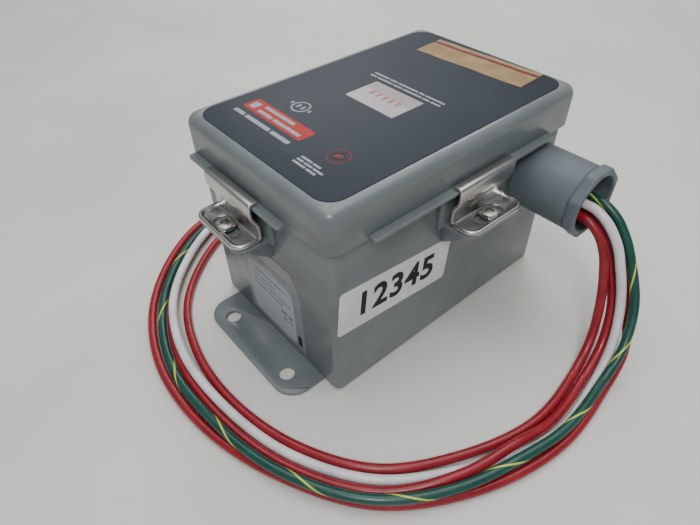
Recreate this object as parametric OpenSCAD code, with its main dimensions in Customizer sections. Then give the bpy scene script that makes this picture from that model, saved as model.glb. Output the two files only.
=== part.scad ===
// Surge protective device in a clamp-cover steel enclosure, with five free leads.
// Origin: centre of the mounting plane. +X is the conduit side, +Y the far end, +Z out of the lid.

/* [Enclosure] */
// Width of the box, across the hinge side and the conduit side
body_w = 101.6; // [96:0.1:140]
// Length of the box between its mounting feet
body_l = 152.4; // [140:0.1:220]
// Depth of the box from its back to its rim
body_d = 101.6; // [98:0.1:140]
// Thickness of the sheet steel
steel_t = 1.9; // [1.2:0.1:2.5]
// Outer radius of the upright corners of the box
body_r = 3.5; // [2.6:0.1:6]
// Width of the rim that is turned inward round the opening
rim_w = 9.5; // [6:0.5:14]

/* [Feet] */
// Width of each mounting foot
foot_w = 80; // [70:1:95]
// How far a foot stands out past the box
foot_out = 22.2; // [18:0.1:30]
// How far a foot reaches under the box
foot_under = 17; // [10:1:30]
// Radius of the free corners of a foot
foot_r = 12; // [4:1:14]
// Diameter of the mounting holes
foot_hole_d = 7.94; // [5:0.01:9]
// Spacing of the mounting holes across a foot
foot_hole_pitch = 50.8; // [40:0.1:60]
// Distance of a hole from the end of the box
foot_hole_out = 12.7; // [9:0.1:15]

/* [Lid] */
// Free space between the lid skirt and the box
lid_gap = 1; // [0.6:0.1:2]
// Height of the lid skirt
skirt_h = 20; // [18:0.5:26]
// Radius of the rounded top edges and corners of the lid
lid_r = 5; // [4:0.5:5.5]
// Thickness of the gasket under the lid
gasket_t = 6.2; // [4:0.1:8]
// Width of the gasket
gasket_w = 8; // [5:0.5:12]
// How far the clamp lips stand out from the skirt
lip_out = 4; // [3:0.1:5]
// Length of the lip on the conduit side
side_lip_l = 118; // [60:1:125]
// Length of the lips on the two ends
end_lip_l = 73; // [50:1:80]

/* [Lid furniture] */
// Width of the printed front label
label_w = 96.6; // [60:0.1:97]
// Length of the printed front label
label_l = 148.4; // [100:0.1:148.8]
// Corner radius of the front label
label_r = 9; // [4:0.5:14]
// Thickness of the front label
label_t = 0.3; // [0.2:0.1:0.6]
// Width of the display window
window_w = 32.4; // [20:0.1:40]
// Length of the display window
window_l = 21; // [12:0.5:30]
// Diameter of the status lens
lens_d = 5; // [3:0.5:8]

/* [Clamps] */
// Width of a clamp along the lip
clamp_w = 37; // [30:1:44]
// Thickness of the clamp strip
clamp_t = 1.5; // [1.2:0.1:2]
// Drop from the lip to the shelf that a clamp stands on
clamp_drop = 20; // [17:0.5:26]
// How far the shelf stands out from the box
shelf_out = 17.6; // [16:0.1:22]
// Distance of the clamp screw from the box
screw_out = 11.6; // [11.2:0.1:12]
// Diameter of the clamp screw thread
screw_d = 4.8; // [4:0.1:5]
// Length of the slot in a clamp
slot_l = 17; // [12:0.5:22]
// Width of the slot in a clamp
slot_w = 6.6; // [6.4:0.1:7.5]
// Place of the conduit-side clamp along the box
side_clamp_y = 7; // [-10:0.5:12]
// Place of the two end clamps across the box
end_clamp_x = -10.5; // [-14:0.5:14]

/* [Hinge] */
// Length of the continuous hinge
hinge_l = 138; // [90:1:140]
// Number of hinge knuckles
knuckles = 11; // [5:2:15]
// Diameter of the hinge pin
pin_d = 3; // [2:0.1:3.4]
// Outer diameter of the hinge knuckles
knuckle_d = 6.2; // [5.8:0.1:7]
// Thickness of the hinge leaves
leaf_t = 1.5; // [1:0.1:1.8]
// Height of each hinge leaf
leaf_h = 15; // [10:0.5:17]

/* [Conduit adapter] */
// Outer diameter of the adapter barrel
barrel_d = 33.8; // [30:0.1:36]
// How far the adapter stands out from the box
barrel_l = 37.7; // [30:0.1:45]
// Width of the octagonal collar across its flats
collar_af = 34.6; // [34.2:0.1:38]
// Length of the octagonal collar
collar_l = 5.5; // [4:0.5:14]
// Diameter of the bore through the adapter
bore_d = 24; // [22:0.1:24]
// Diameter of the bore in the mouth of the adapter
mouth_d = 29; // [24.5:0.1:30]
// Diameter of the threaded stub through the wall
stub_d = 26.6; // [25.6:0.1:27]
// Height of the adapter's axis below the rim of the lid
conduit_drop = 20.3; // [19.8:0.1:26]
// Distance of the adapter axis from the far end of the box
conduit_in = 21.7; // [21:0.1:40]

/* [Inside] */
// Width of the power board
board_w = 84; // [60:1:90]
// Length of the power board
board_l = 100; // [80:1:105]
// Thickness of both circuit boards
board_t = 1.6; // [1:0.1:2.4]
// Height of the power board above the floor of the box
board_lift = 12; // [8:1:16]
// Diameter of each varistor disc
varistor_d = 30; // [20:1:32]
// Height of the indicator board above the power board
indicator_lift = 60; // [50:1:66]

/* [Stickers] */
// Length of the blank inventory sticker
sticker_l = 69.5; // [40:0.5:80]
// Height of the blank inventory sticker
sticker_h = 25.5; // [15:0.5:30]
// Thickness of the stickers
sticker_t = 0.2; // [0.1:0.1:0.4]

/* [Leads] */
// Outer diameter of a lead
lead_d = 4.6; // [4:0.1:4.8]
// Diameter of the bare copper strands at the free end
copper_d = 2.9; // [2:0.1:3.2]
// Length of the stripped end
strip_l = 12; // [8:1:16]

/* [Hidden] */

$fn = 48;
eps = 0.01;

// heights, from the mounting plane up
back_z = steel_t;
lid_face = lid_gap + steel_t;
floor_z = back_z + steel_t;
rim_z = back_z + body_d;
seal_gap = 0.2;
glue_gap = 0.05;
body_play = lid_face - seal_gap;
lid_inner_z = rim_z + seal_gap + gasket_t;
lid_top_z = lid_inner_z + steel_t;
skirt_z = lid_top_z - skirt_h;
conduit_z = skirt_z - conduit_drop;
lip_top_z = skirt_z + steel_t;

// clamp profile, measured outward from the wall (v) and up
hook_gap = 0.2;
edge_gap = 0.5;
shelf_top_z = lip_top_z - clamp_drop;
gusset_h = 9;
bracket_low_z = shelf_top_z - steel_t - gusset_h;
lip_edge = lid_face + lip_out;
hook_in = lid_face + 1.2;
hook_v = lip_edge + edge_gap + clamp_t / 2;
hook_z = lip_top_z + hook_gap + clamp_t / 2;
web_v = steel_t + 2.3 + clamp_t / 2;
tray_z = shelf_top_z + clamp_t / 2;
tray_v = shelf_out + 0.6;
tray_rim_h = 2.4;
tray_r = 6;
bend = 1.6;
screw_gap = 0.05;
head_d = 9.2;
head_h = 3;
cross_l = 4.6;
cross_w = 1.2;
cross_h = 1.6;
head_z = shelf_top_z + clamp_t + 0.1;
screw_l = 10;

// hinge axis
hinge_play = 0.2;
hinge_v = knuckle_d / 2 + hinge_play;
hinge_z = skirt_z - knuckle_d / 2 - 0.5;
knuckle_l = hinge_l / knuckles;
knuckle_gap = 0.3;
pin_gap = 0.05;

// conduit
conduit_y = body_l / 2 - conduit_in;
stub_in = 8;
stub_bore_d = 22;
nut_t = 4;
nut_d = 34;
wall_play = 0.4;
mouth_depth = 14;

// inside
standoff_d = 6;
small_head_d = 5.6;
small_head_h = 2;
thread_in = 6;
board_z = floor_z + board_lift;
board_y = -board_l / 2 + 30;
board_hole_x = board_w / 2 - 6;
board_hole_y = board_l / 2 - 6;
board_screw_d = 3;
indicator_z = board_z + board_t + indicator_lift;
indicator_w = 70;
indicator_l = 70;
indicator_y = -24;
indicator_hole_x = indicator_w / 2 - 5;
indicator_hole_y = indicator_l / 2 - 5;
lamp_h = rim_z + 1 - indicator_z - board_t;
status_x = 25;
status_y = -49.5;
flange_t = 1.5;
window_x = 0.4;
window_y = -1.8;
stud_x = 34;
stud_y = 58;
stud_d = 5;
stud_h = 12;
ring_d = 11;
ring_t = 1.5;
varistor_t = 7;
varistor_x = -24;
varistor_y = -52;
varistor_pitch = 14;
varistor_lift = 2;
varistor_legs = 12;
leg_d = 1.2;
fuse_d = 8;
fuse_l = 32;
fuse_lift = 3;
fuse_y = -24;
fuse_pitch = 20;
clip_l = 6;
clip_t = 1;
lamp_w = 28;
lamp_l = 18;
led_d = 4.8;
cable_x = 6.5;
cable_y = 4;
cable_w = 7;
cable_t = 1.2;

// stickers
tape_x = 3;
tape_y = 62;
tape_turn = 3;
rating_x = 1;
sticker_y = -39;
sticker_z = bracket_low_z - 11.8;
sticker_turn = -5.4;
tape_l = 66;
tape_w = 20;
rating_w = 50;
rating_h = 54;
rating_gap = 3.8;
rating_z = bracket_low_z - rating_gap - rating_h / 2;
rating_cut = 6;

// Routes of the free leads, from the mouth of the adapter to the insulation's end
lead_z = 2.3;
mouth = body_w / 2 + barrel_l;
exit_red_a = [mouth, conduit_y - 6, conduit_z - 5.5];
exit_white = [mouth, conduit_y - 3, conduit_z];
exit_red_b = [mouth, conduit_y, conduit_z - 6.5];
exit_green = [mouth, conduit_y + 3.5, conduit_z + 0.5];
exit_red_c = [mouth, conduit_y + 6, conduit_z - 5];
red_a = [exit_red_a, [96, 48.5, 62.5], [102, 48.5, 54.5], [106.5, 47.5, 43.5], [112, 43.5, 27],
  [116.5, 36, 11.5], [120.5, 19, lead_z], [124, -16.5, lead_z], [112, -58, lead_z],
  [93, -88.5, lead_z], [62, -108.5, lead_z], [22, -118.5, lead_z], [-18, -116.5, lead_z],
  [-50, -104.5, lead_z], [-73, -84, lead_z], [-90, -58, lead_z], [-97.5, -24, lead_z],
  [-98, 30, lead_z], [-78.5, 120, lead_z]];
white = [exit_white, [97.5, 51.5, 68], [105, 51.5, 60.5], [111.5, 51, 48.5], [120, 47.5, 29],
  [126.5, 37.5, 12.5], [130.5, 20.5, lead_z], [134, -16.5, lead_z], [127.5, -40, lead_z],
  [117.5, -61, lead_z], [96.5, -92, lead_z], [64, -113, 2.6], [22.5, -123.5, 4.9],
  [-19.5, -123, 6.6], [-53.5, -110.5, 6.8], [-78.5, -89, 6.8], [-97.5, -61, 7], [-106.5, -25, 7],
  [-110.5, 31.5, lead_z], [-101, 87.5, lead_z]];
red_b = [exit_red_b, [96, 54.5, 61.5], [102, 54, 53.5], [107.5, 53, 42.5], [115.5, 48.5, 27],
  [121.5, 38.5, 11.5], [125.5, 19.5, lead_z], [129, -16.5, 3.8], [125.5, -39, 7.2],
  [120.5, -62.5, 7], [100.5, -95.5, 2.6], [66, -117.5, lead_z], [23, -127.5, lead_z],
  [-20, -125.5, lead_z], [-54.5, -112, lead_z], [-80.5, -90.5, lead_z], [-99.5, -62, lead_z],
  [-102.5, -24.5, lead_z], [-104.5, 30.5, lead_z], [-94.5, 87.5, lead_z]];
green = [exit_green, [98, 58, 68.5], [106, 57.5, 61], [114, 56.5, 49], [124.5, 51, 32],
  [131, 39, 16.5], [133.5, 21, 6.8], [136, -16.5, 7], [131.5, -41, 7.1], [125, -64.5, 7],
  [104, -99.5, 7.1], [68, -122.5, 7.2], [23.5, -132, 5.8], [-20.5, -130.5, 2.5],
  [-57, -116.5, lead_z], [-84.5, -94, lead_z], [-104.5, -64, 2.4], [-110.5, -25, lead_z],
  [-116.5, 32, lead_z], [-112, 62, lead_z]];
red_c = [exit_red_c, [96.5, 60.5, 63], [103, 60, 55], [109.5, 59, 44.5], [120, 54.5, 28],
  [131, 43, 11.5], [135.5, 21.5, lead_z], [139, -17, lead_z], [126.5, -65.5, lead_z],
  [104, -99.5, lead_z], [68, -122.5, lead_z], [24, -136, lead_z], [-21.5, -135.5, lead_z],
  [-60, -121, lead_z], [-88.5, -97.5, lead_z], [-109.5, -66, lead_z], [-116, -25.5, lead_z],
  [-122, 33, lead_z], [-120, 50.5, lead_z]];
routes = [red_a, white, red_b, green, red_c];

// Routes inside the box, from each terminal, or from the ring on the ground stud, to the mouth
terminal_xs = [12, 0, -12, -24];
block_y = 14;
block_l = 14;
block_h = 18;
block_w = 50;
entry_y = block_y + 7;
inner_z = board_z + board_t + 13.2;
ring_top_z = floor_z + ring_t;
inner_red_a = [[12, entry_y, inner_z], [12, 38, inner_z], [13, 43, 37], [18, 45, 48], [27, 47, 60],
  at_x(exit_red_a, 38), exit_red_a];
inner_white = [[0, entry_y, inner_z], [0, 39, inner_z], [2, 46, 42], [9, 49, 57], [22, 51, 68],
  at_x(exit_white, 38), exit_white];
inner_red_b = [[-12, entry_y, inner_z], [-12, 39, inner_z], [-11, 48, 37], [-5, 55, 50], [8, 58, 60],
  [24, 57, 64], at_x(exit_red_b, 38), exit_red_b];
inner_red_c = [[-24, entry_y, inner_z], [-24, 40, inner_z], [-23, 52, 40], [-15, 62, 56], [4, 66, 64],
  [24, 64, 66], at_x(exit_red_c, 38), exit_red_c];
inner_green = [[29, 67.5, ring_top_z + 0.3], [28.5, 69, 20], [27.5, 70.5, 45], [26, 69.5, 66],
  [29, 63.5, 75.5], [38, 58.5, 73], at_x(exit_green, 52), exit_green];
inner_routes = [inner_red_a, inner_white, inner_red_b, inner_green, inner_red_c];

gray = "#8b9496";
plated = "#c8c8c4";
board_green = "#2f6b46";

// A flat rectangle with round corners, centred
module rounded(w, l, r) {
  square([w - 2 * r, l], center = true);
  square([w, l - 2 * r], center = true);
  for (sx = [-1, 1], sy = [-1, 1])
    translate([sx * (w / 2 - r), sy * (l / 2 - r)]) circle(r);
}

// A plate with round corners, standing on height z
module plate(w, l, r, t, z) translate([0, 0, z]) linear_extrude(t) rounded(w, l, r);

// Turns a piece drawn on the +X wall at y = 0 to the near or far end of the box
module on_end(side) translate([end_clamp_x, side * body_l / 2, 0]) rotate(side * 90) children();
module on_side() translate([body_w / 2, side_clamp_y, 0]) children();

// Unit vector
function unit(v) = v / norm(v);
// A point moved along X to the place x
function at_x(p, x) = [x, p[1], p[2]];
// Direction of a route at its point i
function heading(p, i) = unit(p[min(i + 1, len(p) - 1)] - p[max(i - 1, 0)]);
// Points of one ring of a tube, square to the direction h
function ring(c, h, r, n) = let (s = unit(cross(h, [0, 0.13, 1])), u = cross(s, h))
  [for (k = [0:n - 1]) c + r * (cos(360 * k / n) * s + sin(360 * k / n) * u)];

// A tube of diameter d swept along the points of a route. Its ring in the mouth is square to X.
module tube(p, d, n = 8) {
  last = len(p) - 1;
  rings = [for (i = [0:last]) ring(p[i], p[i][0] == mouth ? [1, 0, 0] : heading(p, i), d / 2, n)];
  sides = [for (i = [0:last - 1], k = [0:n - 1])
    [(i + 1) * n + k, (i + 1) * n + (k + 1) % n, i * n + (k + 1) % n, i * n + k]];
  ends = [[for (k = [0:n - 1]) k], [for (k = [n - 1:-1:0]) last * n + k]];
  polyhedron([for (r = rings) each r], concat(sides, ends));
}

// Sheet steel box: four walls, a back, and a rim turned inward round the opening
module enclosure_body() color(gray) {
  difference() {
    plate(body_w, body_l, body_r, body_d, back_z);
    plate(body_w - 2 * steel_t, body_l - 2 * steel_t, body_r - steel_t / 2, body_d - 2 * steel_t,
      floor_z);
    plate(body_w - 2 * rim_w, body_l - 2 * rim_w, body_r, 2 * steel_t, rim_z - 1.5 * steel_t);
    translate([body_w / 2 - 2 * steel_t, conduit_y, conduit_z])
      rotate([0, 90, 0]) cylinder(d = stub_d + 2 * wall_play, h = 3 * steel_t);
  }
}

// Foot welded under the back: its outer corners are round and it carries two holes
module foot(side) color(gray) {
  foot_l = foot_out + foot_under;
  centre = side * (body_l / 2 + foot_out - foot_l / 2);
  difference() {
    union() {
      translate([0, centre, 0]) plate(foot_w, foot_l, foot_r, steel_t, 0);
      translate([-foot_w / 2, side > 0 ? centre - foot_l / 2 : centre, 0])
        cube([foot_w, foot_l / 2, steel_t]);
    }
    for (sx = [-1, 1])
      translate([sx * foot_hole_pitch / 2, side * (body_l / 2 + foot_hole_out), -1])
        cylinder(d = foot_hole_d, h = steel_t + 2);
  }
}
module foot_near() foot(-1);
module foot_far() foot(1);

// Outline of a shelf or tray in plan: square at the wall, round at its free corners
module shelf_outline(w, out, r) {
  translate([0, -w / 2]) square([out - r, w]);
  translate([0, -w / 2 + r]) square([out, w - 2 * r]);
  for (s = [-1, 1]) translate([out - r, s * (w / 2 - r)]) circle(r);
}

// Welded bracket: a back plate on the wall and a shelf with the tapped hole for the clamp screw
module bracket() color(gray) {
  back_w = clamp_w + 8;
  back_h = 14;
  difference() {
    union() {
      translate([0, -back_w / 2, shelf_top_z - steel_t]) cube([steel_t, back_w, back_h]);
      translate([0, 0, shelf_top_z - steel_t]) linear_extrude(steel_t)
        shelf_outline(clamp_w + 1, shelf_out, tray_r);
      for (s = [-1, 1]) translate([0, s * (clamp_w / 2 - 1) - 1, bracket_low_z])
        rotate([-90, 0, 0]) linear_extrude(2) polygon([[0, 0], [0, -9.2], [12, -9.2], [11, -7], [2, 0]]);
    }
    translate([screw_out, 0, shelf_top_z - 2 * steel_t])
      cylinder(d = screw_d + 2 * screw_gap, h = 3 * steel_t);
  }
}
module bracket_side() on_side() bracket();
module bracket_near() on_end(-1) bracket();
module bracket_far() on_end(1) bracket();

// Outline of a bent strip of thickness t that follows the points p
function strip_normal(p, i) = let (
    a = unit(p[max(i, 1)] - p[max(i, 1) - 1]),
    b = unit(p[min(i, len(p) - 2) + 1] - p[min(i, len(p) - 2)]),
    m = unit([-(a[1] + b[1]), a[0] + b[0]]))
  m / (m * [-a[1], a[0]]);
function strip(p, t) = concat([for (i = [0:len(p) - 1]) p[i] + strip_normal(p, i) * t / 2],
  [for (i = [len(p) - 1:-1:0]) p[i] - strip_normal(p, i) * t / 2]);

// Centreline of the clamp from the tip of its hook down to its tray
clamp_line = [[hook_in, hook_z], [hook_v - bend / 2, hook_z], [hook_v, hook_z - bend / 2],
  [hook_v, hook_z - 6], [hook_v - 0.7, hook_z - 8], [web_v + 0.7, hook_z - 11], [web_v, hook_z - 13],
  [web_v, tray_z + bend], [web_v + bend / 2, tray_z + bend / 4], [web_v + bend, tray_z],
  [tray_v - clamp_t / 2 - 1.2, tray_z]];

// Stamped clamp: hook over the lip, web, and a slotted tray with a raised rim
module clamp() color(plated) {
  difference() {
    union() {
      intersection() {
        translate([0, clamp_w / 2, 0]) rotate([90, 0, 0]) linear_extrude(clamp_w)
          polygon(strip(clamp_line, clamp_t));
        translate([0, 0, shelf_top_z - 1]) linear_extrude(clamp_drop + 10)
          shelf_outline(clamp_w, tray_v, tray_r);
      }
      translate([0, 0, shelf_top_z]) linear_extrude(tray_rim_h) difference() {
        shelf_outline(clamp_w, tray_v, tray_r);
        shelf_outline(clamp_w - 2 * clamp_t, tray_v - clamp_t, tray_r - clamp_t);
        translate([-eps, -clamp_w]) square([web_v + bend, 2 * clamp_w]);
      }
    }
    translate([screw_out, 0, shelf_top_z - 1]) {
      translate([-slot_w / 2, -slot_l / 2 + slot_w / 2, 0]) cube([slot_w, slot_l - slot_w, 5]);
      for (s = [-1, 1]) translate([0, s * (slot_l - slot_w) / 2, 0]) cylinder(d = slot_w, h = 5);
    }
  }
}
module clamp_side() on_side() clamp();
module clamp_near() on_end(-1) clamp();
module clamp_far() on_end(1) clamp();

// Pan-head screw with a cross recess, through the slot into the shelf
module clamp_screw() color(plated) translate([screw_out, 0, head_z]) {
  difference() {
    rotate_extrude() polygon([[0, 0], [head_d / 2, 0], [head_d / 2, head_h * 0.45],
      [head_d * 0.43, head_h * 0.8], [head_d * 0.28, head_h], [0, head_h]]);
    for (a = [0, 90]) rotate(a) translate([-cross_l / 2, -cross_w / 2, head_h - cross_h])
      cube([cross_l, cross_w, cross_h + 1]);
  }
  translate([0, 0, -screw_l]) cylinder(d = screw_d, h = screw_l + eps);
}
module screw_side() on_side() clamp_screw();
module screw_near() on_end(-1) clamp_screw();
module screw_far() on_end(1) clamp_screw();

// Places a piece of the hinge so that its pin lies along Y
module at_hinge() translate([-body_w / 2 - hinge_v, 0, hinge_z]) children();

// Every second knuckle of the hinge, starting at first
module knuckle_row(first) for (k = [first:2:knuckles - 1])
  translate([0, -hinge_l / 2 + k * knuckle_l + knuckle_gap / 2, 0]) children();

// Leaf welded to the wall below the pin
module hinge_leaf_body() color(gray) at_hinge() {
  plate_top = -knuckle_d / 2 - 0.4;
  difference() {
    union() {
      translate([hinge_v - leaf_t, -hinge_l / 2, plate_top - leaf_h]) cube([leaf_t, hinge_l, leaf_h]);
      knuckle_row(0) {
        rotate([-90, 0, 0]) cylinder(d = knuckle_d, h = knuckle_l - knuckle_gap);
        translate([hinge_v - leaf_t, 0, plate_top - eps])
          cube([leaf_t - hinge_play, knuckle_l - knuckle_gap, -plate_top]);
      }
    }
    translate([0, -hinge_l, 0]) rotate([-90, 0, 0]) cylinder(d = pin_d, h = 2 * hinge_l);
  }
}

// Leaf welded to the lid skirt above the pin
module hinge_leaf_lid() color(gray) at_hinge() {
  plate_z = knuckle_d / 2 + 0.4;
  face = hinge_v - lid_face;
  difference() {
    union() {
      translate([face - leaf_t, -hinge_l / 2, plate_z]) cube([leaf_t, hinge_l, leaf_h]);
      knuckle_row(1) {
        rotate([-90, 0, 0]) cylinder(d = knuckle_d, h = knuckle_l - knuckle_gap);
        translate([face - leaf_t, 0, 0]) cube([leaf_t, knuckle_l - knuckle_gap, plate_z + eps]);
      }
    }
    translate([0, -hinge_l, 0]) rotate([-90, 0, 0]) cylinder(d = pin_d + 2 * pin_gap, h = 2 * hinge_l);
  }
}

// Pin through all the knuckles, held by those of the body
module hinge_pin() color(plated) at_hinge()
  translate([0, -hinge_l / 2 - 1, 0]) rotate([-90, 0, 0]) cylinder(d = pin_d, h = hinge_l + 2);

// Solid with round top edges and round upright corners, from height z to top
module domed_block(w, l, r, z, top) hull()
  for (sx = [-1, 1], sy = [-1, 1]) translate([sx * (w / 2 - r), sy * (l / 2 - r), 0]) {
    translate([0, 0, top - r]) sphere(r, $fn = 32);
    translate([0, 0, z]) cylinder(r = r, h = 1, $fn = 32);
  }

// Formed lid: a pan with round edges, lips for the clamps, and holes for the window and lens
module lid() color(gray) {
  lid_w = body_w + 2 * lid_face;
  lid_l = body_l + 2 * lid_face;
  difference() {
    domed_block(lid_w, lid_l, lid_r, skirt_z, lid_top_z);
    domed_block(lid_w - 2 * steel_t, lid_l - 2 * steel_t, lid_r - steel_t, skirt_z - 1, lid_inner_z);
    translate([window_x - window_w / 2, window_y - window_l / 2, lid_inner_z - 1])
      cube([window_w, window_l, 4]);
    translate([status_x, status_y, lid_inner_z - 1]) cylinder(d = lens_d, h = 4);
  }
  translate([lid_w / 2 - steel_t / 2, -side_lip_l / 2, skirt_z])
    cube([lip_out + steel_t / 2, side_lip_l, steel_t]);
  for (side = [-1, 1])
    translate([end_clamp_x, side * (lid_l / 2 + (lip_out - steel_t / 2) / 2), skirt_z + steel_t / 2])
      cube([end_lip_l, lip_out + steel_t / 2, steel_t], center = true);
}

// Foam gasket glued inside the lid, over the rim
module lid_gasket() color("#2b2b2b") difference() {
  inset = 2 * (lid_r - body_play);
  plate(body_w - inset, body_l - inset, body_r, gasket_t - glue_gap, lid_inner_z - gasket_t);
  plate(body_w - inset - 2 * gasket_w, body_l - inset - 2 * gasket_w, body_r, gasket_t + 2,
    lid_inner_z - gasket_t - 1);
}

// Printed label over the whole face of the lid
module front_label() color("#27334a") difference() {
  plate(label_w, label_l, label_r, label_t, lid_top_z);
  translate([window_x - window_w / 2, window_y - window_l / 2, lid_top_z - 1])
    cube([window_w, window_l, 4]);
  translate([status_x, status_y, lid_top_z - 1]) cylinder(d = lens_d, h = 4);
}

// Frosted window, flush with the label and glued behind the lid by its flange
module display_window() color("#d9c9cb") {
  fit = 0.15;
  flange = 3;
  translate([window_x - window_w / 2 + fit, window_y - window_l / 2 + fit, lid_inner_z - glue_gap - eps])
    cube([window_w - 2 * fit, window_l - 2 * fit, steel_t + label_t + glue_gap]);
  translate([window_x - window_w / 2 - flange, window_y - window_l / 2 - flange, lid_inner_z - flange_t])
    cube([window_w + 2 * flange, window_l + 2 * flange, flange_t - glue_gap]);
}

// Red lens over the status lamp
module status_lens() color("#7a2430") translate([status_x, status_y, 0]) {
  translate([0, 0, lid_inner_z - glue_gap - eps])
    cylinder(d = lens_d - 0.2, h = steel_t + label_t + glue_gap);
  translate([0, 0, lid_inner_z - flange_t]) cylinder(d = lens_d + 3, h = flange_t - glue_gap);
}

// Paper tape stuck across the far end of the label
module tape_sticker() color("#c2a36b") translate([tape_x, tape_y, lid_top_z + label_t])
  rotate(tape_turn) linear_extrude(sticker_t) rounded(tape_l, tape_w, 1);

// Rating label on the near end, with its two upper corners cut off
module rating_label() color("#b9c0c4") translate([rating_x, -body_l / 2, rating_z])
  rotate([90, 0, 0]) linear_extrude(sticker_t) polygon([[-rating_w / 2, -rating_h / 2],
    [rating_w / 2, -rating_h / 2], [rating_w / 2, rating_h / 2 - rating_cut * 2],
    [rating_w / 2 - rating_cut, rating_h / 2], [rating_cut - rating_w / 2, rating_h / 2],
    [-rating_w / 2, rating_h / 2 - rating_cut * 2]]);

// Inventory sticker on the conduit side
module inventory_sticker() color("white") translate([body_w / 2, sticker_y, sticker_z])
  rotate([90, 0, 90]) rotate(sticker_turn) linear_extrude(sticker_t) rounded(sticker_l, sticker_h, 2);

// Places a round piece on the axis of the conduit, pointing out of the wall
module on_conduit() translate([body_w / 2, conduit_y, conduit_z]) rotate([0, 90, 0]) children();

// Plastic conduit adapter: barrel, octagonal collar at its mouth, and a stub through the wall
module conduit_adapter() color("#8d979b") on_conduit() difference() {
  union() {
    cylinder(d = barrel_d, h = barrel_l - collar_l + eps);
    translate([0, 0, barrel_l - collar_l]) rotate(22.5)
      cylinder(d = collar_af / cos(22.5), h = collar_l, $fn = 8);
    translate([0, 0, -steel_t - stub_in]) cylinder(d = stub_d, h = steel_t + stub_in + eps);
  }
  translate([0, 0, -steel_t - stub_in - 1]) cylinder(d = stub_bore_d, h = barrel_l + stub_in);
  cylinder(d = bore_d, h = barrel_l);
  translate([0, 0, barrel_l - mouth_depth]) cylinder(d = mouth_d, h = mouth_depth + 1);
}

// Locknut on the stub, inside the wall
module conduit_locknut() color(plated) on_conduit() translate([0, 0, -steel_t - nut_t - 0.05])
  difference() {
    cylinder(d = nut_d, h = nut_t, $fn = 8);
    translate([0, 0, -1]) cylinder(d = stub_d + 0.1, h = nut_t + 2);
  }

// Repeats a piece at the four holes of a board
module four(hx, hy, y) for (sx = [-1, 1], sy = [-1, 1]) translate([sx * hx, y + sy * hy, 0]) children();

// Power board with its four mounting holes
module power_board() color(board_green) difference() {
  translate([0, board_y, 0]) plate(board_w, board_l, 2, board_t, board_z);
  four(board_hole_x, board_hole_y, board_y) translate([0, 0, board_z - 1])
    cylinder(d = board_screw_d + 0.2, h = board_t + 2);
}

// Round spacers between the floor and the power board
module board_standoffs() color(plated) four(board_hole_x, board_hole_y, board_y) difference() {
  translate([0, 0, floor_z]) cylinder(d = standoff_d, h = board_lift);
  translate([0, 0, floor_z + 2]) cylinder(d = board_screw_d, h = board_lift);
}

// Pan-head screw from the top of a board into its spacer
module small_screw() {
  cylinder(d = small_head_d, h = small_head_h);
  translate([0, 0, -board_t - thread_in])
    cylinder(d = board_screw_d - 0.02, h = board_t + thread_in + eps);
}

// Screws that hold the power board on its spacers
module board_screws() color(plated) four(board_hole_x, board_hole_y, board_y)
  translate([0, 0, board_z + board_t]) small_screw();

// Row of varistor discs that stand on the power board
module varistors() color("#23479a") for (k = [0:3])
  translate([varistor_x + varistor_pitch * k, varistor_y, board_z + board_t]) {
    translate([0, 0, varistor_d / 2 + varistor_lift]) rotate([0, 90, 0])
      cylinder(d = varistor_d, h = varistor_t);
    for (s = [-1, 1]) translate([varistor_t / 2, s * varistor_legs / 2, 0]) cylinder(d = leg_d, h = 8);
  }

// Repeats a piece for each fuse, from the middle of its near end on the board
module each_fuse() for (k = [-1:1]) translate([fuse_pitch * k, fuse_y, board_z + board_t]) children();

// Cartridge fuses, each with metal caps
module fuses() color("#d8d2c0") each_fuse()
  translate([0, 0, fuse_lift + fuse_d / 2]) rotate([-90, 0, 0]) cylinder(d = fuse_d, h = fuse_l);

// Spring clips that hold each fuse near its two ends
module fuse_clips() color("#b9a15a") each_fuse() for (y = [2, fuse_l - 2 - clip_l])
  translate([0, y, 0]) difference() {
    translate([-fuse_d / 2 - clip_t, 0, 0])
      cube([fuse_d + 2 * clip_t, clip_l, fuse_lift + fuse_d * 0.75]);
    translate([0, -1, fuse_lift + fuse_d / 2]) rotate([-90, 0, 0]) cylinder(d = fuse_d, h = clip_l + 2);
    translate([-fuse_d * 0.4, -1, fuse_lift + fuse_d / 2]) cube([fuse_d * 0.8, clip_l + 2, fuse_d]);
  }

// Four-way terminal block at the far end of the power board. Wires enter from the far side.
module terminal_block() color("#2d3436") difference() {
  translate([terminal_xs[3] - 7, block_y, board_z + board_t]) cube([block_w, block_l, block_h]);
  for (x = terminal_xs) translate([x, entry_y, inner_z]) {
    rotate([-90, 0, 0]) cylinder(d = lead_d + 0.8, h = block_l);
    cylinder(d = 4.2, h = block_h);
  }
}
module terminal_screws() color(plated) for (x = terminal_xs)
  translate([x, entry_y, inner_z + lead_d / 2 + 0.1]) cylinder(d = 4, h = 2);

// Tall spacers that carry the indicator board
module indicator_standoffs() color(plated) four(indicator_hole_x, indicator_hole_y, indicator_y)
  difference() {
    translate([0, 0, board_z + board_t]) cylinder(d = standoff_d, h = indicator_lift);
    translate([0, 0, indicator_z - 8]) cylinder(d = board_screw_d, h = 10);
  }

// Indicator board under the window
module indicator_board() color(board_green) difference() {
  translate([0, indicator_y, 0]) plate(indicator_w, indicator_l, 2, board_t, indicator_z);
  four(indicator_hole_x, indicator_hole_y, indicator_y) translate([0, 0, indicator_z - 1])
    cylinder(d = board_screw_d + 0.2, h = board_t + 2);
}
module indicator_screws() color(plated) four(indicator_hole_x, indicator_hole_y, indicator_y)
  translate([0, 0, indicator_z + board_t]) small_screw();

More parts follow.
